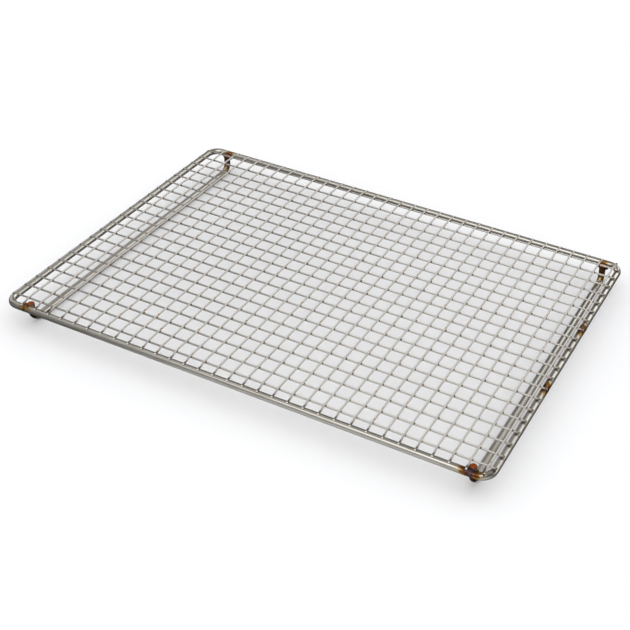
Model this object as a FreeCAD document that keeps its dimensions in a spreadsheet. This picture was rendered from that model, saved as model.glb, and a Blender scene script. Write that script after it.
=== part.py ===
import FreeCAD, Part
import math
import os
import Sketcher

# Rectangular wire cooling rack for bakery goods, all welded stainless steel.
# A thick rod bent to a rounded rectangle carries a mesh of two wire layers, and
# two U-shaped bars of the same rod, welded inside it, are the feet.
# Millimetres. X runs along the long side, Y along the short side from front to
# back, Z up. The origin is on the table, under the middle of the frame.

Vector = FreeCAD.Vector

CROSS_WIRES = 32
LONG_WIRES = 21
LEG_BEADS = 4

# Driving dimensions: cell name, value, meaning.
DIMENSIONS = [
    ("rack_length", 600, "overall length, outside to outside of the frame rod"),
    ("rack_width", 400, "overall width, outside to outside of the frame rod"),
    ("rod_diameter", 8, "diameter of the frame rod and of the foot bars"),
    ("wire_diameter", 2.2, "diameter of the mesh wires"),
    ("corner_bend", 14, "bend radius of the frame corners, on the centre line"),
    ("frame_height", 24.6, "frame rod's centre line above the table"),
    ("joint_y", 63.4, "where the frame rod's two ends meet, on the right side"),
    ("joint_gap", 0.4, "gap between the two ends of the frame rod"),
    ("joint_bead_width", 4.4, "width of the bead around that joint"),
    ("joint_bead_rise", 0.35, "height of that bead above the rod"),
    ("cross_pitch", 18.17, "spacing of the cross wires"),
    ("first_cross_gap", 23.2, "left frame rod to the first cross wire, centres"),
    ("long_pitch", 18.35, "spacing of the long wires"),
    ("first_long_gap", 11.7, "front frame rod to the first long wire, centres"),
    ("long_left_inset", 3.8, "long wire's left end, short of the rack's left side"),
    ("long_right_inset", 0.6, "long wire's right end, short of the rack's right side"),
    ("front_overrun", 2.8, "cross wire past the front rod's centre line"),
    ("back_overrun", 0.2, "cross wire past the back rod's centre line"),
    ("flat_on_rod", 2.5, "cross wire still flat inside the rod's centre line"),
    ("joggle_length", 8, "length of a cross wire's step up onto the long wires"),
    ("corner_pull_in", 2.9, "how much the rod has turned in under the last cross wire"),
    ("last_flat", 1, "flat back end of the last cross wire"),
    ("foot_bend", 12, "bend radius of the foot bars, on the centre line"),
    ("left_foot_inset", 27, "left frame rod to the left foot bar, centres"),
    ("right_foot_inset", 20.3, "right frame rod to the right foot bar, centres"),
    ("leg_top_drop", 2.1, "leg's cut top below the top of the frame rod"),
    ("bead_length", 6.4, "leg weld bead, along the frame rod"),
    ("bead_width", 5, "leg weld bead, across the frame rod"),
    ("bead_height", 6.6, "leg weld bead, upright"),
    ("bead_side", 3.9, "leg's centre line to its weld bead, along the rod"),
    ("bead_back", 2.4, "leg's centre line to its weld bead, towards the rod"),
    ("bead_drop", 1, "weld bead's middle below the frame rod's centre line"),
]

# Positions and sizes that follow from the driving dimensions.
DERIVED = [
    ("rod_radius", "=rod_diameter / 2"),
    ("wire_radius", "=wire_diameter / 2"),
    ("right_x", "=rack_length / 2 - rod_radius"),
    ("left_x", "=-right_x"),
    ("back_y", "=rack_width / 2 - rod_radius"),
    ("front_y", "=-back_y"),
    ("joint_front", "=joint_y - joint_gap / 2"),
    ("joint_back", "=joint_y + joint_gap / 2"),
    ("joint_bead_half", "=joint_bead_width / 2"),
    ("joint_bead_top", "=rod_radius + joint_bead_rise"),
    ("lower_layer", "=frame_height + rod_radius + wire_radius"),
    ("layer_step", "=wire_diameter"),
    ("long_length", "=rack_length - long_left_inset - long_right_inset"),
    ("long_middle_x", "=(long_left_inset - long_right_inset) / 2"),
    ("first_cross_x", "=left_x + first_cross_gap"),
    ("first_long_y", "=front_y + first_long_gap"),
    ("wire_front", "=front_y - front_overrun"),
    ("wire_back", "=back_y + back_overrun"),
    ("step_front_low", "=front_y + flat_on_rod"),
    ("step_front_high", "=step_front_low + joggle_length"),
    ("step_back_low", "=back_y - flat_on_rod"),
    ("step_back_high", "=step_back_low - joggle_length"),
    ("last_front", "=wire_front + corner_pull_in"),
    ("last_back", "=wire_back - corner_pull_in"),
    ("last_step_front_low", "=front_y + corner_pull_in"),
    ("last_step_front_high", "=last_step_front_low + joggle_length"),
    ("last_step_back_low", "=last_back - last_flat"),
    ("last_step_back_high", "=last_step_back_low - joggle_length"),
    ("foot_height", "=rod_radius"),
    ("leg_top", "=frame_height + rod_radius - leg_top_drop"),
    ("leg_back", "=back_y - rod_diameter"),
    ("leg_front", "=-leg_back"),
    ("left_foot_x", "=left_x + left_foot_inset"),
    ("right_foot_x", "=right_x - right_foot_inset"),
    ("bead_half_length", "=bead_length / 2"),
    ("bead_half_width", "=bead_width / 2"),
    ("bead_half_height", "=bead_height / 2"),
    ("bead_z", "=frame_height - bead_drop"),
]

# Cells that give a cross wire's shape, front end to back end.
CROSS_SHAPE = ("wire_front", "step_front_low", "step_front_high",
               "step_back_high", "step_back_low", "wire_back")
LAST_CROSS_SHAPE = ("last_front", "last_step_front_low", "last_step_front_high",
                    "last_step_back_high", "last_step_back_low", "last_back")

# Numbers for the ends and centre of a curve, and for a sketch's own axes.
START = 1
END = 2
CENTRE = 3
X_AXIS = -1
Y_AXIS = -2
ORIGIN = (-1, 1)


def make_sheet(doc):
    """Fill the sheet: one size per row, with its name as the alias."""
    sheet = doc.addObject("Spreadsheet::Sheet", "Sizes")
    rows = [(name, str(value), note) for name, value, note in DIMENSIONS]
    rows += [(name, text, "follows from the sizes above") for name, text in DERIVED]
    for number, (name, content, note) in enumerate(rows, start=1):
        sheet.set("A%d" % number, name)
        sheet.set("B%d" % number, content)
        sheet.set("C%d" % number, note)
        sheet.setAlias("B%d" % number, name)
    doc.recompute()
    return sheet


def cell(name):
    """Reference to a cell of the sheet, for use in an expression."""
    return "Sizes." + name


def make_body(doc, label):
    body = doc.addObject("PartDesign::Body", label)
    body.Label = label
    return body


def place(thing, x="0 mm", y="0 mm", z="0 mm"):
    """Bind a sub-part's position to the sheet."""
    thing.setExpression("Placement.Base.x", x)
    thing.setExpression("Placement.Base.y", y)
    thing.setExpression("Placement.Base.z", z)


def make_sketch(body, role, name):
    """Sketch lying on one of the body's own origin planes."""
    plane = [item for item in body.Origin.OriginFeatures if item.Role == role][0]
    sketch = body.newObject("Sketcher::SketchObject", body.Name + "_" + name)
    sketch.AttachmentSupport = [(plane, "")]
    sketch.MapMode = "FlatFace"
    return sketch


def bind(sheet, sketch, kind, where, name):
    """Constrain a curve or point of the sketch to the value of a cell."""
    index = sketch.addConstraint(Sketcher.Constraint(kind, *where, sheet.get(name)))
    label = "%s_%d" % (name, index)
    sketch.renameConstraint(index, label)
    sketch.setExpression("Constraints." + label, cell(name))


def bind_x(sheet, sketch, curve, point, name):
    bind(sheet, sketch, "DistanceX", ORIGIN + (curve, point), name)


def bind_y(sheet, sketch, curve, point, name):
    bind(sheet, sketch, "DistanceY", ORIGIN + (curve, point), name)


def add_line(sketch, start, end):
    return sketch.addGeometry(Part.LineSegment(Vector(*start), Vector(*end)), False)


def add_arc(sketch, centre, radius, first, last):
    """Arc through the angles first to last, in degrees, anticlockwise."""
    circle = Part.Circle(Vector(*centre), Vector(0, 0, 1), radius)
    arc = Part.ArcOfCircle(circle, math.radians(first), math.radians(last))
    return sketch.addGeometry(arc, False)


def join(sketch, curve, point, other, other_point):
    """Make two curves run smoothly into each other, end to end."""
    sketch.addConstraint(
        Sketcher.Constraint("Tangent", curve, point, other, other_point))


def round_section(sheet, body, role, radius, along=None, up=None):
    """Sketch of a rod's round section, centred at two cells' values."""
    sketch = make_sketch(body, role, "section")
    centre = Vector(sheet.get(along) if along else 0, sheet.get(up) if up else 0)
    circle = Part.Circle(centre, Vector(0, 0, 1), sheet.get(radius))
    curve = sketch.addGeometry(circle, False)
    bind(sheet, sketch, "Radius", (curve,), radius)
    if along:
        bind_x(sheet, sketch, curve, CENTRE, along)
    else:
        pin = Sketcher.Constraint("PointOnObject", curve, CENTRE, Y_AXIS)
        sketch.addConstraint(pin)
    if up:
        bind_y(sheet, sketch, curve, CENTRE, up)
    else:
        pin = Sketcher.Constraint("PointOnObject", curve, CENTRE, X_AXIS)
        sketch.addConstraint(pin)
    return sketch


def lift_sketch(sketch, expression):
    """Move a sketch off its plane, along the plane's normal."""
    sketch.setExpression("AttachmentOffset.Base.z", expression)


def make_pipe(body, section, path):
    """Sweep the section along the path and make that the body's result."""
    pipe = body.newObject("PartDesign::AdditivePipe", body.Name + "_pipe")
    pipe.Profile = section
    pipe.Spine = (path, [])
    body.Tip = pipe


def make_frame(doc, sheet):
    """Frame rod: a rounded rectangle that starts and ends at its butt joint."""
    body = make_body(doc, "frame_rod")
    path = make_sketch(body, "XY_Plane", "path")
    left, right = sheet.get("left_x"), sheet.get("right_x")
    front, back = sheet.get("front_y"), sheet.get("back_y")
    bend = sheet.get("corner_bend")
    joint = (right, sheet.get("joint_front")), (right, sheet.get("joint_back"))
    right_front = add_line(path, joint[0], (right, front + bend))
    corner_rf = add_arc(path, (right - bend, front + bend), bend, 270, 360)
    front_side = add_line(path, (right - bend, front), (left + bend, front))
    corner_lf = add_arc(path, (left + bend, front + bend), bend, 180, 270)
    left_side = add_line(path, (left, front + bend), (left, back - bend))
    corner_lb = add_arc(path, (left + bend, back - bend), bend, 90, 180)
    back_side = add_line(path, (left + bend, back), (right - bend, back))
    corner_rb = add_arc(path, (right - bend, back - bend), bend, 0, 90)
    right_back = add_line(path, (right, back - bend), joint[1])
    # Each anticlockwise arc is met at its far end first, going clockwise.
    for before, arc, after in ((right_front, corner_rf, front_side),
                               (front_side, corner_lf, left_side),
                               (left_side, corner_lb, back_side),
                               (back_side, corner_rb, right_back)):
        join(path, before, END, arc, END)
        join(path, arc, START, after, START)
        bind(sheet, path, "Radius", (arc,), "corner_bend")
    for line in (right_front, left_side):
        path.addConstraint(Sketcher.Constraint("Vertical", line))
    bind_x(sheet, path, right_front, START, "right_x")
    bind_y(sheet, path, right_front, START, "joint_front")
    bind_y(sheet, path, front_side, START, "front_y")
    bind_x(sheet, path, left_side, START, "left_x")
    bind_y(sheet, path, back_side, START, "back_y")
    bind_x(sheet, path, right_back, END, "right_x")
    bind_y(sheet, path, right_back, END, "joint_back")
    section = round_section(sheet, body, "XZ_Plane", "rod_radius", along="right_x")
    lift_sketch(section, "-" + cell("joint_front"))
    make_pipe(body, section, path)
    place(body, z=cell("frame_height"))
    return body


def make_frame_weld(doc, sheet):
    """Low round bead that runs once around the frame rod over its joint."""
    body = make_body(doc, "frame_butt_weld")
    sketch = make_sketch(body, "XY_Plane", "profile")
    half, rod = sheet.get("joint_bead_half"), sheet.get("rod_radius")
    top = sheet.get("joint_bead_top")
    base = add_line(sketch, (rod, -half), (rod, half))
    crown = Part.Arc(Vector(rod, -half), Vector(top, 0), Vector(rod, half))
    arc = sketch.addGeometry(crown, False)
    sketch.addConstraint(Sketcher.Constraint("Coincident", base, START, arc, START))
    sketch.addConstraint(Sketcher.Constraint("Coincident", base, END, arc, END))
    sketch.addConstraint(Sketcher.Constraint("Vertical", base))
    pin = Sketcher.Constraint("PointOnObject", arc, CENTRE, X_AXIS)
    sketch.addConstraint(pin)
    bind_x(sheet, sketch, base, START, "rod_radius")
    bind_y(sheet, sketch, base, END, "joint_bead_half")
    rise = sketch.addGeometry(Part.Point(Vector(top, 0)), True)
    sketch.addConstraint(Sketcher.Constraint("PointOnObject", rise, START, arc))
    sketch.addConstraint(Sketcher.Constraint("PointOnObject", rise, START, X_AXIS))
    bind_x(sheet, sketch, rise, START, "joint_bead_top")
    turn = body.newObject("PartDesign::Revolution", "frame_butt_weld_turn")
    turn.Profile = sketch
    turn.ReferenceAxis = (sketch, ["V_Axis"])
    turn.Angle = 360
    body.Tip = turn
    place(body, cell("right_x"), cell("joint_y"), cell("frame_height"))
    return body


def make_foot_bar(doc, sheet, label, x):
    """Foot bar: down one leg, along the table and up the other leg."""
    body = make_body(doc, label)
    path = make_sketch(body, "YZ_Plane", "path")
    front, back = sheet.get("leg_front"), sheet.get("leg_back")
    top, low, bend = (sheet.get(name) for name in ("leg_top", "foot_height", "foot_bend"))
    front_leg = add_line(path, (front, top), (front, low + bend))
    front_bend = add_arc(path, (front + bend, low + bend), bend, 180, 270)
    floor_bar = add_line(path, (front + bend, low), (back - bend, low))
    back_bend = add_arc(path, (back - bend, low + bend), bend, 270, 360)
    back_leg = add_line(path, (back, low + bend), (back, top))
    join(path, front_leg, END, front_bend, START)
    join(path, front_bend, END, floor_bar, START)
    join(path, floor_bar, END, back_bend, START)
    join(path, back_bend, END, back_leg, START)
    for arc in (front_bend, back_bend):
        bind(sheet, path, "Radius", (arc,), "foot_bend")
    for line in (front_leg, back_leg):
        path.addConstraint(Sketcher.Constraint("Vertical", line))
    bind_x(sheet, path, front_leg, START, "leg_front")
    bind_y(sheet, path, front_leg, START, "leg_top")
    bind_y(sheet, path, floor_bar, START, "foot_height")
    bind_x(sheet, path, back_leg, END, "leg_back")
    bind_y(sheet, path, back_leg, END, "leg_top")
    section = round_section(sheet, body, "XY_Plane", "rod_radius", up="leg_front")
    lift_sketch(section, cell("leg_top"))
    make_pipe(body, section, path)
    place(body, x=cell(x))
    return body


def turn_seam(thing, angle):
    """Turn a round shape's seam about the upright, away from where it is cut."""
    thing.Placement.Rotation = FreeCAD.Rotation(Vector(0, 0, 1), angle)


def make_bead(doc, sheet, name, leg_x, side, front):
    """One weld bead in the nook between a leg and the frame rod."""
    leg_y = "leg_front" if front else "leg_back"
    rod_y = "front_y" if front else "back_y"
    towards_rod = "-" if front else "+"
    blob = doc.addObject("Part::Ellipsoid", name + "_blob")
    turn_seam(blob, 0 if side == "-" else 180)
    blob.setExpression("Radius1", cell("bead_half_height"))
    blob.setExpression("Radius2", cell("bead_half_length"))
    blob.setExpression("Radius3", cell("bead_half_width"))
    place(blob,
          "%s %s %s" % (cell(leg_x), side, cell("bead_side")),
          "%s %s %s" % (cell(leg_y), towards_rod, cell("bead_back")),
          cell("bead_z"))
    leg = doc.addObject("Part::Cylinder", name + "_leg")
    turn_seam(leg, 90 if front else -90)
    leg.setExpression("Radius", cell("rod_radius"))
    leg.setExpression("Height", cell("leg_top") + " * 2")
    place(leg, cell(leg_x), cell(leg_y))
    rod = doc.addObject("Part::Cylinder", name + "_rod")
    rod.setExpression("Radius", cell("rod_radius"))
    rod.setExpression("Height", cell("rack_length"))
    rod.Placement.Rotation = FreeCAD.Rotation(Vector(0, 1, 0), 90)
    place(rod, "-%s / 2" % cell("rack_length"), cell(rod_y), cell("frame_height"))
    beside_leg = doc.addObject("Part::Cut", name + "_beside_leg")
    beside_leg.Base = blob
    beside_leg.Tool = leg
    bead = doc.addObject("Part::Cut", name)
    bead.Base = beside_leg
    bead.Tool = rod
    return bead


def make_foot_welds(doc, sheet, label, leg_x):
    """The weld beads on both sides of a foot bar's front and back legs."""
    beads = []
    for end, front in (("front", True), ("back", False)):
        for side, word in (("-", "left"), ("+", "right")):
            name = "%s_%s_%s" % (label, end, word)
            beads.append(make_bead(doc, sheet, name, leg_x, side, front))
    group = doc.addObject("Part::Compound", label)
    group.Label = label
    group.Links = beads
    return group


def make_long_wire(doc, sheet, index):
    """Straight wire of the lower layer, lying on the left and right rods."""
    body = make_body(doc, "long_wire_%02d" % (index + 1))
    section = round_section(sheet, body, "YZ_Plane", "wire_radius")
    pad = body.newObject("PartDesign::Pad", body.Name + "_pad")
    pad.Profile = section
    pad.Midplane = True
    pad.setExpression("Length", cell("long_length"))
    body.Tip = pad
    y = "%s + %d * %s" % (cell("first_long_y"), index, cell("long_pitch"))
    place(body, cell("long_middle_x"), y, cell("lower_layer"))
    return body


def add_step(sketch, start, end):
    """Two equal arcs that carry the wire smoothly from one height to another."""
    run, rise = end[0] - start[0], end[1] - start[1]
    radius = (run ** 2 + rise ** 2) / (4 * abs(rise))
    half_turn = math.degrees(math.asin(run / 2 / radius))
    if rise > 0:
        first = add_arc(sketch, (start[0], start[1] + radius), radius,
                        270, 270 + half_turn)
        second = add_arc(sketch, (end[0], end[1] - radius), radius,
                         90, 90 + half_turn)
        first_ends, second_ends = (START, END), (END, START)
    else:
        first = add_arc(sketch, (start[0], start[1] - radius), radius,
                        90 - half_turn, 90)
        second = add_arc(sketch, (end[0], end[1] + radius), radius,
                         270 - half_turn, 270)
        first_ends, second_ends = (END, START), (START, END)
    join(sketch, first, first_ends[1], second, second_ends[0])
    sketch.addConstraint(Sketcher.Constraint("Equal", first, second))
    return (first, first_ends[0]), (second, second_ends[1])


def make_cross_wire(doc, sheet, index):
    """Wire of the upper layer, stepped down at both ends onto the frame rod."""
    body = make_body(doc, "cross_wire_%02d" % (index + 1))
    shape = LAST_CROSS_SHAPE if index == CROSS_WIRES - 1 else CROSS_SHAPE
    front, rise_start, rise_end, fall_start, fall_end, back = (
        sheet.get(name) for name in shape)
    step = sheet.get("layer_step")
    path = make_sketch(body, "YZ_Plane", "path")
    on_front = add_line(path, (front, 0), (rise_start, 0))
    rise = add_step(path, (rise_start, 0), (rise_end, step))
    across = add_line(path, (rise_end, step), (fall_start, step))
    fall = add_step(path, (fall_start, step), (fall_end, 0))
    on_back = add_line(path, (fall_end, 0), (back, 0))
    join(path, on_front, END, *rise[0])
    join(path, across, START, *rise[1])
    join(path, across, END, *fall[0])
    join(path, on_back, START, *fall[1])
    for line in (on_front, across, on_back):
        path.addConstraint(Sketcher.Constraint("Horizontal", line))
    bind_x(sheet, path, on_front, START, shape[0])
    bind_x(sheet, path, on_front, END, shape[1])
    bind_x(sheet, path, across, START, shape[2])
    bind_x(sheet, path, across, END, shape[3])
    bind_x(sheet, path, on_back, START, shape[4])
    bind_x(sheet, path, on_back, END, shape[5])
    for line in (on_front, on_back):
        pin = Sketcher.Constraint("PointOnObject", line, START, X_AXIS)
        path.addConstraint(pin)
    bind_y(sheet, path, across, START, "layer_step")
    section = round_section(sheet, body, "XZ_Plane", "wire_radius")
    lift_sketch(section, "-" + cell(shape[0]))
    make_pipe(body, section, path)
    x = "%s + %d * %s" % (cell("first_cross_x"), index, cell("cross_pitch"))
    place(body, x=x, z=cell("lower_layer"))
    return body


def build():
    doc = FreeCAD.newDocument("cooling_rack")
    sheet = make_sheet(doc)
    pieces = [make_frame(doc, sheet), make_frame_weld(doc, sheet)]
    for side in ("left", "right"):
        foot_x = side + "_foot_x"
        pieces.append(make_foot_bar(doc, sheet, side + "_foot_bar", foot_x))
        pieces.append(make_foot_welds(doc, sheet, side + "_foot_welds", foot_x))
    for index in range(LONG_WIRES):
        pieces.append(make_long_wire(doc, sheet, index))
    for index in range(CROSS_WIRES):
        pieces.append(make_cross_wire(doc, sheet, index))
    doc.recompute()
    return doc, pieces


def check(doc, pieces):
    """Stop before writing anything if a feature or a finished shape is bad."""
    for item in doc.Objects:
        if "Invalid" in item.State or "Error" in item.State:
            raise RuntimeError("%s is in state %s" % (item.Name, item.State))
    for piece in pieces:
        if piece.Shape.isNull() or not piece.Shape.isValid():
            raise RuntimeError("%s has no valid shape" % piece.Label)
        expected = LEG_BEADS if piece.Label.endswith("_foot_welds") else 1
        if len(piece.Shape.Solids) != expected:
            raise RuntimeError("%s has a wrong number of solids" % piece.Label)


def export(pieces):
    os.makedirs("parts", exist_ok=True)
    for piece in pieces:
        piece.Shape.exportStep(os.path.join("parts", piece.Label + ".step"))


document, sub_parts = build()
check(document, sub_parts)
export(sub_parts)
for sub_part in sub_parts:
    size = sub_part.Shape.optimalBoundingBox()
    print("%s: %d solid(s), %.1f x %.1f x %.1f mm" % (
        sub_part.Label, len(sub_part.Shape.Solids),
        size.XLength, size.YLength, size.ZLength))
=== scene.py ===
import math

import bpy
import numpy as np
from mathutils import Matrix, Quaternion, Vector


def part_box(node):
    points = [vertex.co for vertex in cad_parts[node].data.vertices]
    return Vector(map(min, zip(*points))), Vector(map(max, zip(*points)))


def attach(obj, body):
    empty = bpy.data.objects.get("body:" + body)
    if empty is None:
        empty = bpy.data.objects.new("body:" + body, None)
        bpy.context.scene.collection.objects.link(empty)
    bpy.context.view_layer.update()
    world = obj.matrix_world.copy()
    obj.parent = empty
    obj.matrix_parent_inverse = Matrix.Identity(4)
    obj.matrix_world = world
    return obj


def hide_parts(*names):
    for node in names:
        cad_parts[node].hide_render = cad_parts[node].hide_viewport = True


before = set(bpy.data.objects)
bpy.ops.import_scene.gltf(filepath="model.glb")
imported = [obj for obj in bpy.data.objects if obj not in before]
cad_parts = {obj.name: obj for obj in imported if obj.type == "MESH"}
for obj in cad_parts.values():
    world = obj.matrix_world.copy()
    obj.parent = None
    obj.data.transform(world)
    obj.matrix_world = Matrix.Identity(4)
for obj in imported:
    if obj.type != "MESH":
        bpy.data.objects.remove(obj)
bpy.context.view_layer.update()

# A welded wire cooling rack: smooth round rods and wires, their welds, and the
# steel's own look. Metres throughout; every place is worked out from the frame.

MM = 0.001
RNG = np.random.default_rng(340)

# Shape details that the boxes of the frame's nodes don't tell.
CORNER_BEND = 14 * MM          # bend radius of the frame rod, on its centre line
FOOT_BEND = 12 * MM            # bend radius of the foot bars, on their centre line
JOINT_GAP = 0.4 * MM           # gap between the frame rod's two ends, under its weld
JOGGLE_FLAT = 2.5 * MM         # cross wire still flat inside the frame rod's centre line
JOGGLE_LENGTH = 8 * MM         # length of a cross wire's step up onto the long wires
LAST_FRONT_FLAT = 2.9 * MM     # the same for the last cross wire, over the front corner
LAST_BACK_FLAT = 3.7 * MM      # and over the back corner
LEG_BEAD_HALF = Vector((3.3, 2.5, 3.4)) * MM     # leg weld bead, half sizes
LEG_BEAD_SIDE = 3.9 * MM       # leg's centre line to its weld beads, along the rod
LEG_BEAD_BACK = 2.4 * MM       # leg's centre line to its weld beads, towards the rod
LEG_BEAD_DROP = 1 * MM         # middle of a leg weld bead below the rod's centre line
JOINT_TINT_DROP = 8 * MM       # frame weld to the middle of its heat tint, to the front
SECOND_TINT_DROP = 116 * MM    # frame weld to the second tinted patch, to the front
GRIME_SHADOW_ACROSS = 0.6 * MM        # middle of the right rod to the painted wire shadow and grime on it
GRIME_SHADOW_ALONG = -1.8 * MM        # long wire to the painted shadow and grime beside its end
WIRE_WAVE = 0.18 * MM          # how far a drawn wire strays from its straight line
WAVE_LENGTHS = (0.05, 0.16)    # and over what lengths

# How finely the round pieces are drawn.
ROD_SIDES = 40
WIRE_SIDES = 14
ROD_STEP = 1.5 * MM
WIRE_STEP = 3 * MM
BEND_STEP = 1 * MM
NEAR_A_CROSSING = np.arange(-4, 5) * MM
CUT_EDGE = 0.12                # rounding of a cut end's edge, as a share of the radius
CUT_RINGS = 3
LUMP_WAVES = 2.2               # how quickly a lump of weld metal's surface rises and falls


# ---- the frame's own numbers ------------------------------------------------

NODES = sorted(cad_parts)
LONG_WIRES = [n for n in NODES if n.startswith("long_wire")]
CROSS_WIRES = [n for n in NODES if n.startswith("cross_wire")]
FEET = ("left_foot", "right_foot")


def middle(node):
    low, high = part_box(node)
    return (low + high) / 2


ROD_LOW, ROD_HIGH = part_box("frame_rod")
ROD_RADIUS = (ROD_HIGH.z - ROD_LOW.z) / 2
ROD_Z = middle("frame_rod").z
RIGHT_X = ROD_HIGH.x - ROD_RADIUS
LEFT_X = ROD_LOW.x + ROD_RADIUS
BACK_Y = ROD_HIGH.y - ROD_RADIUS
FRONT_Y = ROD_LOW.y + ROD_RADIUS
JOINT = middle("frame_butt_weld")
FOOT_X = {foot: middle(foot + "_bar").x for foot in FEET}
LEG_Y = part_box("left_foot_bar")[1].y - ROD_RADIUS
LEG_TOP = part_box("left_foot_bar")[1].z
LONG_Y = [middle(n).y for n in LONG_WIRES]
CROSS_X = [middle(n).x for n in CROSS_WIRES]
WIRE_RADIUS = (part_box(LONG_WIRES[0])[1].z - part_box(LONG_WIRES[0])[0].z) / 2
LONG_Z = middle(LONG_WIRES[0]).z
CROSS_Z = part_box(CROSS_WIRES[0])[1].z - WIRE_RADIUS

# Where heat and grime marked the steel and painted wire shadow darkens it, and where the wires
# lie on the frame rod.
LEG_NOOKS = [Vector((x, side * (LEG_Y + ROD_RADIUS), ROD_Z))
             for x in FOOT_X.values() for side in (-1, 1)]
JOINT_TINTS = [Vector((RIGHT_X, JOINT.y - drop, ROD_Z))
               for drop in (JOINT_TINT_DROP, SECOND_TINT_DROP)]
ROD_TOP = ROD_Z + ROD_RADIUS
# painted shadow and reflection of each long wire's end on the right rod, with some grime
GRIME_SHADOW_SPOTS = [Vector((RIGHT_X + GRIME_SHADOW_ACROSS, y + GRIME_SHADOW_ALONG, ROD_TOP)) for y in LONG_Y]
CONTACTS = [Vector((x, y, ROD_TOP)) for x in (LEFT_X, RIGHT_X) for y in LONG_Y]
CONTACTS += [Vector((x, y, ROD_TOP)) for x in CROSS_X for y in (FRONT_Y, BACK_Y)]


# ---- mesh building ----------------------------------------------------------

def new_piece(name, vertices, faces, flat_faces=()):
    """A mesh object whose faces are smooth, except the numbered flat ones."""
    mesh = bpy.data.meshes.new(name)
    mesh.from_pydata(np.asarray(vertices).tolist(), [], faces)
    smooth = np.ones(len(faces), bool)
    smooth[list(flat_faces)] = False
    mesh.polygons.foreach_set("use_smooth", smooth)
    mesh.update()
    piece = bpy.data.objects.new(name, mesh)
    bpy.context.scene.collection.objects.link(piece)
    return piece


def points_of(piece):
    places = np.empty(len(piece.data.vertices) * 3, np.float32)
    piece.data.vertices.foreach_get("co", places)
    return places.reshape(-1, 3)


def set_number(piece, name, values):
    """A number at each vertex, which the materials read by name."""
    layer = piece.data.attributes.new(name, "FLOAT", "POINT")
    layer.data.foreach_set("value", np.asarray(values, np.float32))


def set_place(piece, name, values):
    """A place at each vertex, which the materials read by name."""
    layer = piece.data.attributes.new(name, "FLOAT_VECTOR", "POINT")
    layer.data.foreach_set("vector", np.asarray(values, np.float32).ravel())


def distance_to(piece, places):
    """How far each vertex is from the nearest of some places."""
    points = points_of(piece)
    gaps = [np.linalg.norm(points - np.array(p), axis=1) for p in places]
    return np.min(gaps, axis=0)


def smooth_step(value, start, end):
    """0 before the start, 1 past the end, and an even S between them."""
    share = np.clip((value - start) / (end - start), 0, 1)
    return share * share * (3 - 2 * share)


def spots(values, middles, look):
    """Strength of soft spots near some middles: a look is strength, shift and reach."""
    strength, shift, reach = look
    return strength * np.max([np.exp(-((values - middle - shift) / reach) ** 2)
                              for middle in middles], axis=0)


def straight(start, end, step):
    count = max(1, round((end - start).length / step))
    return [start.lerp(end, i / count) for i in range(count)]


def bent_path(corners, bend, step):
    """Points along straight runs whose inner corners are rounded to a bend radius."""
    points = []
    here = corners[0]
    for before, corner, after in zip(corners, corners[1:], corners[2:]):
        inward = (corner - before).normalized()
        onward = (after - corner).normalized()
        turn = inward.angle(onward)
        reach = bend * math.tan(turn / 2)
        start = corner - inward * reach
        points += straight(here, start, step)
        count = math.ceil(bend * turn / BEND_STEP)
        side = (onward - inward * inward.dot(onward)).normalized()
        for i in range(count):
            angle = turn * i / count
            points.append(start + inward * bend * math.sin(angle)
                          + side * bend * (1 - math.cos(angle)))
        here = corner + onward * reach
    points += straight(here, corners[-1], step)
    points.append(corners[-1])
    return np.array([p[:] for p in points])


def end_rings(radius):
    """Distance back from a cut end, and radius, of the rings that round its edge."""
    edge = CUT_EDGE * radius
    turns = np.linspace(math.pi / 2, 0, CUT_RINGS)
    return edge * (1 - np.sin(turns)), radius - edge * (1 - np.cos(turns))


def sweep(name, path, radius, sides, across):
    """A round bar along a path that stays square to `across`, with cut ends."""
    path = np.asarray(path, float)
    across = np.array(across, float)
    ahead = np.gradient(path, axis=0)
    ahead /= np.linalg.norm(ahead, axis=1)[:, None]
    back, narrow = end_rings(radius)
    first = path[0] + ahead[0] * back[:, None]
    last = path[-1] - ahead[-1] * back[::-1, None]
    centres = np.vstack([first, path[1:-1], last])
    heading = np.vstack([np.repeat(ahead[:1], CUT_RINGS, 0), ahead[1:-1],
                         np.repeat(ahead[-1:], CUT_RINGS, 0)])
    radii = np.concatenate([narrow, np.full(len(path) - 2, radius), narrow[::-1]])
    side = np.cross(across, heading)
    side /= np.linalg.norm(side, axis=1)[:, None]
    angles = np.arange(sides) * 2 * math.pi / sides
    ring = (np.cos(angles)[None, :, None] * across
            + np.sin(angles)[None, :, None] * side[:, None, :])
    vertices = centres[:, None, :] + ring * radii[:, None, None]
    rings = len(centres)
    faces = [(i * sides + j, (i + 1) * sides + j,
              (i + 1) * sides + (j + 1) % sides, i * sides + (j + 1) % sides)
             for i in range(rings - 1) for j in range(sides)]
    walls = len(faces)
    faces.append(tuple(range(sides)))
    faces.append(tuple(reversed(range((rings - 1) * sides, rings * sides))))
    piece = new_piece(name, vertices.reshape(-1, 3), faces, (walls, walls + 1))
    steps = np.linalg.norm(np.diff(centres, axis=0), axis=1)
    along = np.concatenate([[0], np.cumsum(steps)])
    grain = np.stack([np.repeat(along, sides),
                      np.tile(np.cos(angles), rings) * radius,
                      np.tile(np.sin(angles), rings) * radius], axis=1)
    set_place(piece, "grain", grain)
    return piece


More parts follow.
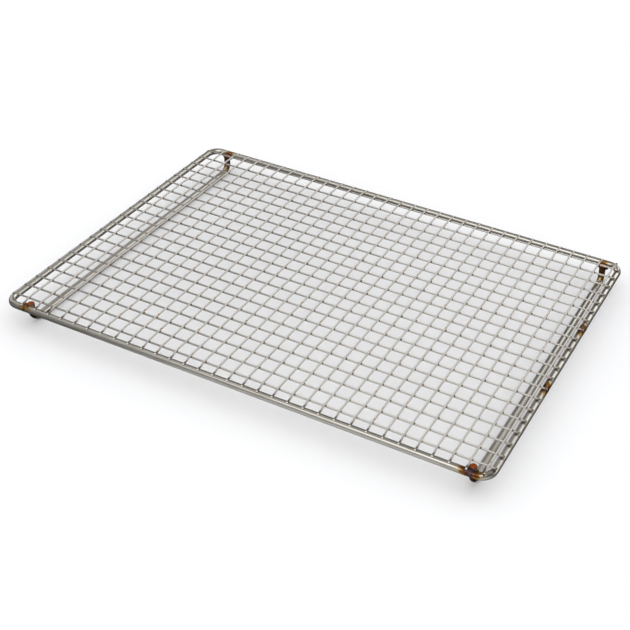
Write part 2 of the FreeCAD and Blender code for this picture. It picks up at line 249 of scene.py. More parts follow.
def sphere_template(turns, layers):
    """Vertices and faces of a unit ball, poles on the Z axis."""
    vertices = [(0, 0, 1)]
    for i in range(1, layers):
        down = math.pi * i / layers
        for j in range(turns):
            turn = 2 * math.pi * j / turns
            vertices.append((math.sin(down) * math.cos(turn),
                             math.sin(down) * math.sin(turn), math.cos(down)))
    vertices.append((0, 0, -1))
    bottom = len(vertices) - 1
    faces = [(0, 1 + j, 1 + (j + 1) % turns) for j in range(turns)]
    for i in range(layers - 2):
        a, b = 1 + i * turns, 1 + (i + 1) * turns
        faces += [(a + j, b + j, b + (j + 1) % turns, a + (j + 1) % turns)
                  for j in range(turns)]
    a = 1 + (layers - 2) * turns
    faces += [(bottom, a + (j + 1) % turns, a + j) for j in range(turns)]
    return np.array(vertices, float), faces


def lumps(name, places, halves, turns, layers, unevenness):
    """Many small lumps of weld metal as one piece: uneven, flattened balls."""
    ball, ball_faces = sphere_template(turns, layers)
    vertices, faces, tones = [], [], []
    for number, (place, half) in enumerate(zip(places, halves)):
        waves = RNG.normal(0, LUMP_WAVES, (3, 3))
        phases = RNG.uniform(0, 2 * math.pi, 3)
        swell = 1 + unevenness * np.sin(ball @ waves.T + phases).sum(axis=1) / 2
        vertices.append(np.array(place) + ball * np.array(half) * swell[:, None])
        start = number * len(ball)
        faces += [tuple(start + i for i in face) for face in ball_faces]
        tones += [RNG.uniform()] * len(ball)
    piece = new_piece(name, np.vstack(vertices), faces)
    set_number(piece, "tone", tones)
    set_place(piece, "grain", points_of(piece))
    return piece


# ---- node graphs ------------------------------------------------------------

class Graph:
    """The node graph of a material or world, with a short call for each kind of node."""

    def __init__(self, owner):
        self.owner = owner
        owner.use_nodes = True
        self.tree = owner.node_tree

    def node(self, kind):
        return self.tree.nodes.new(kind)

    def plug(self, socket, value):
        if isinstance(value, bpy.types.NodeSocket):
            self.tree.links.new(value, socket)
        else:
            socket.default_value = value

    def shade(self, **inputs):
        surface = self.tree.nodes["Principled BSDF"]
        for name, value in inputs.items():
            self.plug(surface.inputs[name.replace("_", " ")], value)

    def math(self, operation, *values):
        node = self.node("ShaderNodeMath")
        node.operation = operation
        for socket, value in zip(node.inputs, values):
            self.plug(socket, value)
        return node.outputs[0]

    def number(self, name):
        node = self.node("ShaderNodeAttribute")
        node.attribute_name = name
        return node.outputs["Fac"]

    def place(self, name):
        node = self.node("ShaderNodeAttribute")
        node.attribute_name = name
        return node.outputs["Vector"]

    def ray(self, kind):
        """1 for rays of a kind, such as "Is Camera Ray", and 0 for the others."""
        return self.node("ShaderNodeLightPath").outputs[kind]

    def stretch(self, vector, scale):
        node = self.node("ShaderNodeVectorMath")
        node.operation = "MULTIPLY"
        self.plug(node.inputs[0], vector)
        node.inputs[1].default_value = scale
        return node.outputs[0]

    def parts(self, vector):
        node = self.node("ShaderNodeSeparateXYZ")
        self.plug(node.inputs[0], vector)
        return node.outputs

    def noise(self, vector, scale=1.0, detail=2.0, rough=0.5):
        node = self.node("ShaderNodeTexNoise")
        self.plug(node.inputs["Vector"], vector)
        node.inputs["Scale"].default_value = scale
        node.inputs["Detail"].default_value = detail
        node.inputs["Roughness"].default_value = rough
        return node.outputs["Fac"]

    def remap(self, value, low, high, to_low=0.0, to_high=1.0):
        node = self.node("ShaderNodeMapRange")
        node.interpolation_type = "SMOOTHSTEP"
        for socket, number in zip(node.inputs, (value, low, high, to_low, to_high)):
            self.plug(socket, number)
        return node.outputs[0]

    def swing(self, noise, low, high):
        """Spreads the middle of a noise's range between two values."""
        return self.remap(noise, 0.3, 0.7, low, high)

    def rising(self, value, edge):
        """0 before a soft edge, 1 past it."""
        return self.remap(value, *edge)

    def falling(self, value, edge):
        """1 before a soft edge, 0 past it."""
        return self.remap(value, *edge, 1.0, 0.0)

    def between(self, value, limits, soft):
        """1 where the value lies between two limits, with soft edges."""
        low, high = limits
        return self.math("MULTIPLY", self.rising(value, (low - soft, low + soft)),
                         self.falling(value, (high - soft, high + soft)))

    def ramp(self, value, stops):
        node = self.node("ShaderNodeValToRGB")
        self.plug(node.inputs[0], value)
        elements = node.color_ramp.elements
        while len(elements) < len(stops):
            elements.new(0.5)
        for element, (position, colour) in zip(elements, stops):
            element.position = position
            element.color = (*colour, 1)
        return node.outputs[0]

    def mix(self, share, first, second):
        node = self.node("ShaderNodeMix")
        node.data_type = "RGBA"
        self.plug(node.inputs["Factor"], share)
        for socket, colour in zip((node.inputs[6], node.inputs[7]), (first, second)):
            if isinstance(colour, tuple):
                colour = (*colour, 1)
            self.plug(socket, colour)
        return node.outputs[2]

    def bump(self, height, distance, strength=1.0):
        node = self.node("ShaderNodeBump")
        self.plug(node.inputs["Height"], height)
        node.inputs["Distance"].default_value = distance
        node.inputs["Strength"].default_value = strength
        return node.outputs[0]


def material_graph(name):
    return Graph(bpy.data.materials.new(name))


# ---- the steel --------------------------------------------------------------

CLEAN_ROD = (0.78, 0.77, 0.74)
STAINED_ROD = (0.66, 0.63, 0.57)
# near black of the painted wire shadow and reflection on the rod, with grime
GRIME_AND_SHADOW = (0.07, 0.05, 0.035)
CLEAN_WIRE = (0.82, 0.80, 0.77)
# dull wire, and the painted shade of the lower layer of wires
DULL_OR_SHADED_WIRE = (0.36, 0.345, 0.33)
SCORCHED_WIRE = (0.13, 0.085, 0.055)
COPPERY_WIRE = (0.50, 0.33, 0.25)
STRAW_WIRE = (0.66, 0.44, 0.22)

# Temper colours of stainless steel from the weld outwards, by share of the tint's reach.
TINT_REACH = 18 * MM
TINT_WANDER = 0.45             # how raggedly one colour runs into the next
TINT_FADE = (0.62, 1.0)
SCALE = (0.030, 0.024, 0.020)
TEMPER_COLOURS = [(0.00, SCALE), (0.15, SCALE),
                  (0.27, (0.17, 0.18, 0.22)),      # steel blue
                  (0.37, (0.11, 0.05, 0.08)),      # violet
                  (0.50, (0.17, 0.065, 0.02)),     # brown
                  (0.68, (0.50, 0.29, 0.09)),      # gold
                  (0.88, (0.76, 0.64, 0.42))]      # straw

# near-white cut metal with a painted highlight, so the ends shine under any light
CUT_AND_GLINT_COLOURS = [(0.3, (0.86, 0.83, 0.74)), (0.7, (0.96, 0.94, 0.88))]
WELD_COLOURS = [(0.25, (0.06, 0.042, 0.028)), (0.5, (0.15, 0.10, 0.055)),
                (0.68, (0.28, 0.17, 0.08)), (0.88, (0.45, 0.28, 0.13))]
SCORCHED_COLOURS = [(0.30, (0.12, 0.020, 0.003)), (0.5, (0.30, 0.055, 0.005)),
                    (0.7, (0.44, 0.11, 0.012))]

# Marks of drawing and shearing: how many a metre, along the bar and on its two other axes.
ROD_LINES = (12, 900, 900)
ROD_CLOUDS = (25, 90, 90)
WIRE_LINES = (20, 1800, 1800)
WIRE_CLOUDS = (18, 60, 60)
SHEAR_LINES = (1, 4000, 900)

ROD_ROUGHNESS = (0.276, 0.290)    # any smoother and the rods render grainy
ROUGHER_WHERE_MARKED = 0.06         # added where the rod is heat-tinted, grimy or under painted wire shadow
WIRE_ROUGHNESS = (0.38, 0.50)
WIRE_METAL = 0.75              # the rest of a wire's surface is a dull film
# edge, strength and raggedness of the painted wire shadow and grime
GRIME_SHADOW_EDGE = (1.4 * MM, 3.2 * MM)
GRIME_SHADOW_STRENGTH = 0.85
GRIME_SHADOW_RAGGED = 1 * MM


def heat_tint(graph, grain):
    """Colour of the heat tint, and how much of it there is (0 to 1)."""
    wander = graph.noise(grain, 260, detail=4, rough=0.65)
    wander = graph.math("MULTIPLY_ADD", wander, 2 * TINT_WANDER, -TINT_WANDER)
    gap = graph.math("DIVIDE", graph.number("heat_gap"), TINT_REACH)
    gap = graph.math("ADD", gap, wander)
    return graph.ramp(gap, TEMPER_COLOURS), graph.falling(gap, TINT_FADE)


def grime_and_shadow(graph, grain):
    """How much painted shadow and grime the rod has: ragged dark spots under the ends of the
    long wires, painted for their shadow and reflection.
    """
    ragged = graph.noise(grain, 500, detail=2)
    ragged = graph.math("MULTIPLY_ADD", ragged, 2 * GRIME_SHADOW_RAGGED, -GRIME_SHADOW_RAGGED)
    gap = graph.math("ADD", graph.number("grime_shadow_gap"), ragged)
    return graph.remap(gap, *GRIME_SHADOW_EDGE, GRIME_SHADOW_STRENGTH, 0.0)


def rod_steel():
    """Bright drawn rod: fine lines along it, faint stains, heat tint at the welds, and painted
    wire shadow with grime under the long wires' ends.
    """
    graph = material_graph("rod_steel")
    grain = graph.place("grain")
    lines = graph.noise(graph.stretch(grain, ROD_LINES), 1, detail=4, rough=0.6)
    cloud = graph.noise(graph.stretch(grain, ROD_CLOUDS), 1, detail=3, rough=0.55)
    tint, tinted = heat_tint(graph, grain)
    # painted shadow and reflection of the long wires' ends darkens the rod, with some grime
    grimy_or_shaded = grime_and_shadow(graph, grain)
    clean = graph.mix(graph.remap(cloud, 0.50, 0.75), CLEAN_ROD, STAINED_ROD)
    colour = graph.mix(tinted, clean, tint)
    colour = graph.mix(grimy_or_shaded, colour, GRIME_AND_SHADOW)
    tinted_grimy_or_shaded = graph.math("MAXIMUM", tinted, grimy_or_shaded)
    rough = graph.swing(lines, *ROD_ROUGHNESS)
    rough = graph.math("MULTIPLY_ADD", tinted_grimy_or_shaded, ROUGHER_WHERE_MARKED, rough)
    graph.shade(Base_Color=colour, Metallic=1.0, Roughness=rough,
                Normal=graph.bump(lines, 0.002 * MM, 0.15))
    return graph.owner


def wire_steel():
    """Satin drawn wire: duller in places, with painted shade on the lower layer, and straw and
    scorched spots at its welds.
    """
    graph = material_graph("wire_steel")
    grain = graph.place("grain")
    lines = graph.noise(graph.stretch(grain, WIRE_LINES), 1, detail=3, rough=0.6)
    cloud = graph.noise(graph.stretch(grain, WIRE_CLOUDS), 1, detail=3, rough=0.6)
    # random dull clouds plus the painted shade the wire carries
    dull = graph.math("MULTIPLY_ADD", cloud, 0.5, graph.number("dull"))
    colour = graph.mix(graph.remap(dull, 0.1, 1.1), CLEAN_WIRE, DULL_OR_SHADED_WIRE)
    for mark, marked in (("straw", STRAW_WIRE), ("copper", COPPERY_WIRE),
                         ("scorch", SCORCHED_WIRE)):
        colour = graph.mix(graph.number(mark), colour, marked)
    graph.shade(Base_Color=colour, Metallic=WIRE_METAL,
                Roughness=graph.swing(lines, *WIRE_ROUGHNESS),
                Normal=graph.bump(lines, 0.02 * MM, 0.4))
    return graph.owner


def cut_wire():
    """A wire's sheared end: bare metal with a painted highlight, near-white and barely metallic,
    with the shear's fine lines.
    """
    graph = material_graph("cut_wire")
    lines = graph.noise(graph.stretch(graph.place("grain"), SHEAR_LINES), 1, detail=3, rough=0.6)
    graph.shade(Base_Color=graph.ramp(lines, CUT_AND_GLINT_COLOURS), Metallic=0.1, Roughness=0.45,
                Normal=graph.bump(lines, 0.03 * MM, 0.5))
    return graph.owner


def weld_steel():
    """Weld metal: dark scale with brown and straw where it shines through."""
    graph = material_graph("weld_steel")
    patch = graph.noise(graph.place("grain"), 900, detail=3, rough=0.6)
    tone = graph.math("MULTIPLY_ADD", graph.number("tone"), 0.4, -0.2)
    colour = graph.ramp(graph.math("ADD", patch, tone), WELD_COLOURS)
    graph.shade(Base_Color=colour, Metallic=0.8, Roughness=graph.swing(patch, 0.35, 0.55),
                Normal=graph.bump(patch, 0.15 * MM, 0.6))
    return graph.owner


def scorched_end():
    """A foot bar's cut end, burnt orange brown beside its weld."""
    graph = material_graph("scorched_end")
    patch = graph.noise(graph.place("grain"), 700, detail=3, rough=0.55)
    graph.shade(Base_Color=graph.ramp(patch, SCORCHED_COLOURS), Metallic=0.2,
                Roughness=graph.swing(patch, 0.45, 0.65), Specular_IOR_Level=0.2,
                Normal=graph.bump(patch, 0.1 * MM, 0.5))
    return graph.owner


ROD_STEEL = rod_steel()
WIRE_STEEL = wire_steel()
CUT_WIRE = cut_wire()
WELD_STEEL = weld_steel()
SCORCHED_END = scorched_end()


# ---- the pieces -------------------------------------------------------------

# Heat gap: how far the steel is from a weld, set back where that weld left less tint.
COOL_LEG = min(LEG_NOOKS, key=lambda nook: nook.x + nook.y)    # near left, least tinted
COOL_LEG_START = 4.5 * MM
BACK_ROD_START = 7 * MM        # the frame rod at the back legs
BACK_LEG_START = 7.5 * MM      # the top of a foot bar's back leg
FRONT_LEG_START = 1 * MM       # and of its front leg
JOINT_START = 6.5 * MM         # the two tinted patches on the frame rod's right side
BACK_LEG_SPREAD = 0.3          # a small spread carries the tint further from the weld
FRONT_LEG_SPREAD = 0.6
JOINT_SPREAD = 0.62

# Marks on the wires: strength, shift from where the mark belongs, and reach.
LONG_STRAW = (0.25, 2 * MM, 1.6 * MM)        # at each crossing
LONG_COPPER = (0.12, -2 * MM, 2.2 * MM)      # at the right rod
LONG_SCORCH = (0.95, 0, 3.2 * MM)            # at the right end
CROSS_COPPER = (0.2, 5 * MM, 2.5 * MM)       # at the front rod
CROSS_SCORCH = (0.9, 1 * MM, 2.6 * MM)       # at the front rod
CROSS_STRAW_SHIFT = (2.6, 0.5)               # mm, and how much it varies
CROSS_STRAW_REACH = 1.2 * MM
CROSS_STRAW_RARITY = 4                       # few of these spots are strong
LEFT_PAINTED_SHADE = 0.5                          # painted shade: the long wires, lying lower, are darker, most on the left
RIGHT_PAINTED_SHADE = -0.1

# Lumps of weld metal: half sizes, and how uneven they are.
SPOT_SIZES = (0.85, 1.2)
CROSSING_HALF = np.array((1.1, 1.05, 0.75)) * MM
CROSSING_SHIFT = np.array((0.75, -0.3)) * MM
CROSSING_DRIFT = 0.15 * MM
CONTACT_LONG_HALF = 1.6 * MM                 # along the wire
CONTACT_SHORT_HALF = 1.2 * MM                # across it
CONTACT_RISE = 0.55 * MM

# The bead round the frame rod's joint.
JOINT_TURNS = 64
JOINT_LAYERS = 16
JOINT_ROOT = 0.985             # the bead's edges lie this share of the rod's radius out
RIPPLES = 14
RIPPLE_DEPTH = 0.012
RIPPLE_SLANT = 2.5
JOINT_TONE = 0.45


def hand_over(piece, material, slot, *nodes):
    """Gives a finished piece its material and its body, and hides the nodes it stands for."""
    piece.data.materials.append(material)
    if nodes:
        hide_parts(*nodes)
    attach(piece, "root")


def ends_material(piece, material):
    """Gives a bar's flat cut ends a material of their own."""
    piece.data.materials.append(material)
    for face in piece.data.polygons:
        if not face.use_smooth:
            face.material_index = 1


def finish_rod(piece, heat_gap, *nodes):
    """Hands a rod over, with how far its points are from the heat of a weld."""
    set_number(piece, "heat_gap", heat_gap)
    # distance to the spots of painted wire shadow and grime
    set_number(piece, "grime_shadow_gap", distance_to(piece, GRIME_SHADOW_SPOTS))
    hand_over(piece, ROD_STEEL, "rod", *nodes)


def make_frame_rod():
    """The frame rod, from one end of its joint round to the other."""
    corners = [(RIGHT_X, JOINT.y + JOINT_GAP / 2), (RIGHT_X, BACK_Y), (LEFT_X, BACK_Y),
               (LEFT_X, FRONT_Y), (RIGHT_X, FRONT_Y), (RIGHT_X, JOINT.y - JOINT_GAP / 2)]
    corners = [Vector((x, y, ROD_Z)) for x, y in corners]
    path = bent_path(corners, CORNER_BEND, ROD_STEP)
    piece = sweep("round_frame_rod", path, ROD_RADIUS, ROD_SIDES, (0, 0, 1))
    back_legs = [nook for nook in LEG_NOOKS if nook.y > 0]
    hot_legs = [nook for nook in LEG_NOOKS if nook.y < 0 and nook is not COOL_LEG]
    gaps = (distance_to(piece, hot_legs), distance_to(piece, [COOL_LEG]) + COOL_LEG_START,
            distance_to(piece, back_legs) + BACK_ROD_START,
            distance_to(piece, JOINT_TINTS) * JOINT_SPREAD + JOINT_START)
    finish_rod(piece, np.minimum.reduce(gaps), "frame_rod")


def make_foot_bar(foot):
    """A foot bar: down its front leg, along the floor and up its back leg."""
    x = FOOT_X[foot]
    corners = [Vector((x, -LEG_Y, LEG_TOP)), Vector((x, -LEG_Y, ROD_RADIUS)),
               Vector((x, LEG_Y, ROD_RADIUS)), Vector((x, LEG_Y, LEG_TOP))]
    path = bent_path(corners, FOOT_BEND, ROD_STEP)
    piece = sweep("round_" + foot + "_bar", path, ROD_RADIUS, ROD_SIDES, (1, 0, 0))
    at_back = points_of(piece)[:, 1] > 0
    start = np.where(at_back, BACK_LEG_START, FRONT_LEG_START)
    spread = np.where(at_back, BACK_LEG_SPREAD, FRONT_LEG_SPREAD)
    finish_rod(piece, distance_to(piece, LEG_NOOKS) * spread + start, foot + "_bar")
    ends_material(piece, SCORCHED_END)


def wander(along, reach):
    """A drawn wire's slight waviness: smooth, and never more than `reach`."""
    lengths = RNG.uniform(*WAVE_LENGTHS, 3)
    phases = RNG.uniform(0, 2 * math.pi, 3)
    return reach / 3 * np.sin(along[:, None] * 2 * math.pi / lengths + phases).sum(axis=1)


def wire_stops(low, high, crossings):
    """Places along a wire, closer together where it is welded."""
    stops = np.concatenate([np.arange(low, high, WIRE_STEP), [high]]
                           + [crossing + NEAR_A_CROSSING for crossing in crossings])
    stops = np.unique(np.round(stops, 6))
    return stops[(stops >= low) & (stops <= high)]


def finish_wire(piece, node, **marks):
    """Hands a wire over, with how strong each kind of mark is along it."""
    for name, strengths in marks.items():
        set_number(piece, name, strengths)
    piece.visible_glossy = False    # reflected, wires this thin only hatch the rods
    hand_over(piece, WIRE_STEEL, "wire", node)
    ends_material(piece, CUT_WIRE)


def make_long_wire(node):
    """A straight wire of the lower layer, scorched at its right end, with painted shade darkest
    on the left.
    """
    low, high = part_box(node)
    stops = wire_stops(low.x, high.x, CROSS_X)
    path = np.stack([stops, middle(node).y + wander(stops, WIRE_WAVE),
                     LONG_Z + wander(stops, WIRE_WAVE / 2)], axis=1)
    piece = sweep("round_" + node, path, WIRE_RADIUS, WIRE_SIDES, (0, 0, 1))
    x = points_of(piece)[:, 0]
    # the painted shade lightens towards the right
    brighter = (RIGHT_PAINTED_SHADE - LEFT_PAINTED_SHADE) * smooth_step(x, LEFT_X / 2, RIGHT_X / 2)
    finish_wire(piece, node, straw=spots(x, CROSS_X, LONG_STRAW),
                copper=spots(x, [RIGHT_X], LONG_COPPER),
                scorch=spots(x, [high.x], LONG_SCORCH), dull=LEFT_PAINTED_SHADE + brighter)


def make_cross_wire(node):
    """A wire of the upper layer, stepped down at both ends onto the frame rod."""
    low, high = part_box(node)
    x = middle(node).x
    last = node == CROSS_WIRES[-1]
    front = FRONT_Y + (LAST_FRONT_FLAT if last else JOGGLE_FLAT)
    back = BACK_Y - (LAST_BACK_FLAT if last else JOGGLE_FLAT)
    bends = (front, front + JOGGLE_LENGTH, back - JOGGLE_LENGTH, back)
    stops = wire_stops(low.y, high.y, LONG_Y + list(bends))
    lift = smooth_step(stops, *bends[:2]) - smooth_step(stops, *bends[2:])
    path = np.stack([x + wander(stops, WIRE_WAVE), stops,
                     LONG_Z + (CROSS_Z - LONG_Z) * lift + wander(stops, WIRE_WAVE / 2)], axis=1)
    piece = sweep("round_" + node, path, WIRE_RADIUS, WIRE_SIDES, (1, 0, 0))
    y = points_of(piece)[:, 1]
    straw = []
    for crossing in LONG_Y:
        shift = RNG.normal(*CROSS_STRAW_SHIFT) * MM
        strength = RNG.uniform() ** CROSS_STRAW_RARITY
        straw.append(spots(y, [crossing], (strength, shift, CROSS_STRAW_REACH)))
    finish_wire(piece, node, straw=np.max(straw, axis=0),
                copper=spots(y, [FRONT_Y], CROSS_COPPER),
                scorch=spots(y, [FRONT_Y], CROSS_SCORCH), dull=np.zeros(len(y)))


def make_crossing_welds():
    """The fused spots where the two layers of wire meet."""
    places, halves = [], []
    for x in CROSS_X:
        for y in LONG_Y:
            drift = RNG.normal(0, CROSSING_DRIFT, 2)
            places.append((*((x, y) + CROSSING_SHIFT + drift), (LONG_Z + CROSS_Z) / 2))
            halves.append(CROSSING_HALF * RNG.uniform(*SPOT_SIZES))
    piece = lumps("crossing_welds", places, halves, turns=10, layers=6, unevenness=0.18)
    hand_over(piece, WELD_STEEL, "weld")


def make_contact_welds():
    """The fused spots where wires lie on the frame rod."""
    halves = []
    for place in CONTACTS:
        half = [CONTACT_LONG_HALF, CONTACT_SHORT_HALF, CONTACT_RISE]
        if abs(place.x) < RIGHT_X - ROD_RADIUS:
            half = [CONTACT_SHORT_HALF, CONTACT_LONG_HALF, CONTACT_RISE]
        halves.append(np.array(half) * RNG.uniform(*SPOT_SIZES))
    piece = lumps("rod_contact_welds", CONTACTS, halves, turns=12, layers=8, unevenness=0.15)
    hand_over(piece, WELD_STEEL, "weld")


def make_leg_welds(foot):
    """The beads on both sides of a foot bar's two legs."""
    places = [(FOOT_X[foot] + side * LEG_BEAD_SIDE, end * (LEG_Y + LEG_BEAD_BACK),
               ROD_Z - LEG_BEAD_DROP) for side in (-1, 1) for end in (-1, 1)]
    piece = lumps(foot + "_weld_beads", places, [LEG_BEAD_HALF[:]] * len(places),
                  turns=32, layers=20, unevenness=0.10)
    hand_over(piece, WELD_STEEL, "weld", foot + "_welds")


def make_joint_weld():
    """The bead round the frame rod's joint, with the ripples a weld leaves."""
    low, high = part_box("frame_butt_weld")
    half, top = (high.y - low.y) / 2, (high.x - low.x) / 2
    root = ROD_RADIUS * JOINT_ROOT
    angles = np.arange(JOINT_TURNS)[:, None] * 2 * math.pi / JOINT_TURNS
    across = np.linspace(-1, 1, JOINT_LAYERS + 1)[None, :]
    ripple = 1 - RIPPLE_DEPTH * np.sin(angles * RIPPLES + across * RIPPLE_SLANT) ** 2
    radius = (root + (top - root) * np.sqrt(1 - across ** 2)) * ripple
    vertices = np.stack([JOINT.x + radius * np.cos(angles),
                         JOINT.y + half * across + 0 * radius,
                         JOINT.z + radius * np.sin(angles)], axis=2).reshape(-1, 3)
    wide = JOINT_LAYERS + 1
    starts = [i * wide for i in range(JOINT_TURNS)]
    faces = [(a + j, a + j + 1, b + j + 1, b + j)
             for a, b in zip(starts, starts[1:] + starts[:1]) for j in range(JOINT_LAYERS)]
    walls = len(faces)
    faces.append(tuple(starts))
    faces.append(tuple(a + JOINT_LAYERS for a in reversed(starts)))
    piece = new_piece("frame_weld_bead", vertices, faces, (walls, walls + 1))
    set_number(piece, "tone", np.full(len(vertices), JOINT_TONE))
    set_place(piece, "grain", vertices)
    hand_over(piece, WELD_STEEL, "weld", "frame_butt_weld")


make_frame_rod()
for foot in FEET:
    make_foot_bar(foot)
    make_leg_welds(foot)
make_joint_weld()
for node in LONG_WIRES:
    make_long_wire(node)
for node in CROSS_WIRES:
    make_cross_wire(node)
make_crossing_welds()
make_contact_welds()


# ---- floor, light and camera ------------------------------------------------

FLOOR_HALF = 12.0
FLOOR_COLOURS = [(0.3, (0.79, 0.793, 0.805)), (0.7, (0.81, 0.813, 0.822))]
FLOOR_IN_THE_STEEL = (0.065, 0.062, 0.056)   # how dark the steel reflects the floor,
FRONT_IN_THE_STEEL = (0.42, 0.415, 0.40)     # and its lighter part before the rack
FRONT_EDGE = (FRONT_Y - 20 * MM, FRONT_Y + 10 * MM)
DOME_LIGHT = 1.32
STUDIO_COLOUR = (1, 0.97, 0.91, 1)
WHITE = (1, 1, 1, 1)

# Brightness of what stands in the reflected room.
BRIGHT_PANEL = 1.45
SIDE_PANEL = 0.44
CEILING = 0.18
FRONT_WALL = 0.18
DIM_ROOM = 0.08
DARK_CORNER = 0.02

# Soft edges and limits of the same, across and deep as room_in_the_steel means them.
BACK_PANEL_LEFT = (-0.30, -0.10)
BACK_PANEL_DEPTH = (1.08, 6.0)
BACK_GAP_LEFT = (1.5, 1.8)
BACK_GAP_SLOPE = (1.04, 1.16)
FRONT_PANEL_ACROSS = (-0.65, 0.6)
FRONT_PANEL_DEPTH = (-1.7, -0.25)
LEFT_PANEL_RIGHT = (-0.50, -0.25)
LEFT_PANEL_FRONT = (-0.18, 0.02)
LEFT_PANEL_BACK = (0.95, 1.10)
LEFT_PANEL_SLANT = (-0.1, 0.1)
CEILING_ACROSS = (-0.25, 1.0)
CEILING_DEPTH = (0.25, 1.08)
FRONT_WALL_BACK = (-2.4, -1.8)
DARK_CORNER_LEFT = (1.0, 1.8)


def make_floor():
    """A pale floor, which the steel reflects as a dark one."""
    graph = material_graph("pale_floor")
    where = graph.node("ShaderNodeTexCoord").outputs["Object"]
    shade = graph.noise(where, 1.5, detail=3)
    pale = graph.ramp(shade, FLOOR_COLOURS)
    across, deep = graph.parts(where)[:2]
    before = graph.math("MULTIPLY", graph.rising(across, (LEFT_X, 0.0)),
                        graph.falling(deep, FRONT_EDGE))
    dark = graph.mix(before, FLOOR_IN_THE_STEEL, FRONT_IN_THE_STEEL)
    graph.shade(Base_Color=graph.mix(graph.ray("Is Glossy Ray"), pale, dark), Roughness=0.75)
    corners = [(-FLOOR_HALF, -FLOOR_HALF, 0), (FLOOR_HALF, -FLOOR_HALF, 0),
               (FLOOR_HALF, FLOOR_HALF, 0), (-FLOOR_HALF, FLOOR_HALF, 0)]
    floor = new_piece("floor", corners, [(0, 1, 2, 3)])
    floor.data.materials.append(graph.owner)


def back_panel(graph, across, deep):
    """A tall bright panel at the back, with a gap in it to the right."""
    slope = graph.math("DIVIDE", across, graph.math("MAXIMUM", deep, 0.1))
    panel = graph.math("MULTIPLY", graph.rising(across, BACK_PANEL_LEFT),
                       graph.between(deep, BACK_PANEL_DEPTH, 0.12))
    return graph.math("MULTIPLY", panel, graph.math(
        "MAXIMUM", graph.falling(across, BACK_GAP_LEFT), graph.rising(slope, BACK_GAP_SLOPE)))


def left_panel(graph, across, deep):
    """A softer panel all along the left side."""
    slant = graph.falling(graph.math("ADD", across, deep), LEFT_PANEL_SLANT)
    panel = graph.math("MULTIPLY", graph.falling(across, LEFT_PANEL_RIGHT),
                       graph.math("MAXIMUM", graph.falling(deep, LEFT_PANEL_BACK), slant))
    return graph.math("MULTIPLY", panel, graph.rising(deep, LEFT_PANEL_FRONT))


def room_in_the_steel(graph):
    """Brightness of what the steel reflects: soft panels round a dark studio.

    A direction is named by where it meets a ceiling one unit up: across (to the
    right) and deep (to the back).
    """
    x, y, z = graph.parts(graph.node("ShaderNodeTexCoord").outputs["Generated"])
    up = graph.math("MAXIMUM", z, 0.02)
    across = graph.math("DIVIDE", x, up)
    deep = graph.math("DIVIDE", y, up)
    front = graph.math("MULTIPLY", graph.between(across, FRONT_PANEL_ACROSS, 0.10),
                       graph.between(deep, FRONT_PANEL_DEPTH, 0.08))
    ceiling = graph.math("MULTIPLY", graph.between(across, CEILING_ACROSS, 0.15),
                         graph.between(deep, CEILING_DEPTH, 0.12))
    light = graph.remap(across, *DARK_CORNER_LEFT, DIM_ROOM, DARK_CORNER)
    for panel, brightness in ((back_panel(graph, across, deep), BRIGHT_PANEL),
                              (front, BRIGHT_PANEL),
                              (left_panel(graph, across, deep), SIDE_PANEL),
                              (ceiling, CEILING),
                              (graph.falling(deep, FRONT_WALL_BACK), FRONT_WALL)):
        light = graph.math("MULTIPLY_ADD", panel, brightness, light)
    return light


def make_room():
    """An even dome lights the rack, the steel reflects a studio, the view is white."""
    world = bpy.data.worlds.new("studio")
    bpy.context.scene.world = world
    world.cycles.sampling_method = "NONE"    # so that the steel never picks up the dome
    graph = Graph(world)
    studio = graph.tree.nodes["Background"]
    graph.plug(studio.inputs["Color"], STUDIO_COLOUR)
    graph.plug(studio.inputs["Strength"], room_in_the_steel(graph))
    dome, white = graph.node("ShaderNodeBackground"), graph.node("ShaderNodeBackground")
    for background, strength in ((dome, DOME_LIGHT), (white, 1.0)):
        background.inputs["Color"].default_value = WHITE
        background.inputs["Strength"].default_value = strength
    lit = graph.node("ShaderNodeMixShader")
    seen = graph.node("ShaderNodeMixShader")
    for mixer, ray, first, second in ((lit, "Is Glossy Ray", dome, studio),
                                      (seen, "Is Camera Ray", lit, white)):
        graph.plug(mixer.inputs[0], graph.ray(ray))
        graph.plug(mixer.inputs[1], first.outputs[0])
        graph.plug(mixer.inputs[2], second.outputs[0])
    graph.plug(graph.tree.nodes["World Output"].inputs["Surface"], seen.outputs[0])


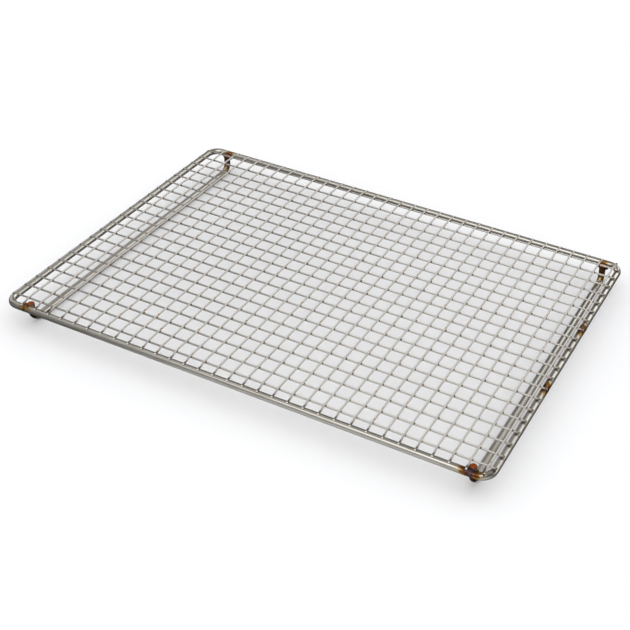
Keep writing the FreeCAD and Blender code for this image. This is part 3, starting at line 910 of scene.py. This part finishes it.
CAMERA_PLACE = Vector((0.5859, -0.9507, 0.8449))
CAMERA_AZIMUTH = math.radians(23.261)
CAMERA_ELEVATION = math.radians(30.882)
CAMERA_ROLL = math.radians(2.932)
FOCAL_LENGTH = 67.072
SENSOR_WIDTH = 36
CLIP_START = 0.01
CLIP_END = 100
LENS_SHIFT = {"shift_x": -0.24821, "shift_y": -0.22398}
CLOSE_TO_HOME = 0.05           # a camera further than this from its place has moved


def make_camera():
    """The viewpoint, off to one side of what it looks at: hence the lens shift."""
    camera = bpy.data.objects.new("camera", bpy.data.cameras.new("camera"))
    bpy.context.scene.collection.objects.link(camera)
    bpy.context.scene.camera = camera
    back = Vector((math.sin(CAMERA_AZIMUTH) * math.cos(CAMERA_ELEVATION),
                   -math.cos(CAMERA_AZIMUTH) * math.cos(CAMERA_ELEVATION),
                   math.sin(CAMERA_ELEVATION)))
    camera.location = CAMERA_PLACE
    camera.rotation_mode = "QUATERNION"
    level = (-back).to_track_quat("-Z", "Y")
    camera.rotation_quaternion = level @ Quaternion((0, 0, 1), CAMERA_ROLL)
    camera.data.lens = FOCAL_LENGTH
    camera.data.sensor_width = SENSOR_WIDTH
    camera.data.clip_start = CLIP_START
    camera.data.clip_end = CLIP_END
    home = bpy.data.objects.new("camera_home", None)
    home.location = CAMERA_PLACE
    bpy.context.scene.collection.objects.link(home)
    for channel, shift in LENS_SHIFT.items():
        shift_only_at_home(camera, home, channel, shift)


def shift_only_at_home(camera, home, channel, shift):
    """The lens is shifted at this viewpoint and centred anywhere else."""
    curve = camera.data.driver_add(channel)
    curve.driver.type = "SUM"
    away = curve.driver.variables.new()
    away.type = "LOC_DIFF"
    away.targets[0].id = camera
    away.targets[1].id = home
    while curve.modifiers:
        curve.modifiers.remove(curve.modifiers[0])
    curve.keyframe_points.insert(0, shift)
    curve.keyframe_points.insert(CLOSE_TO_HOME, 0)
    curve.extrapolation = "CONSTANT"


make_floor()
make_room()
make_camera()
bpy.context.scene.view_settings.view_transform = "Standard"
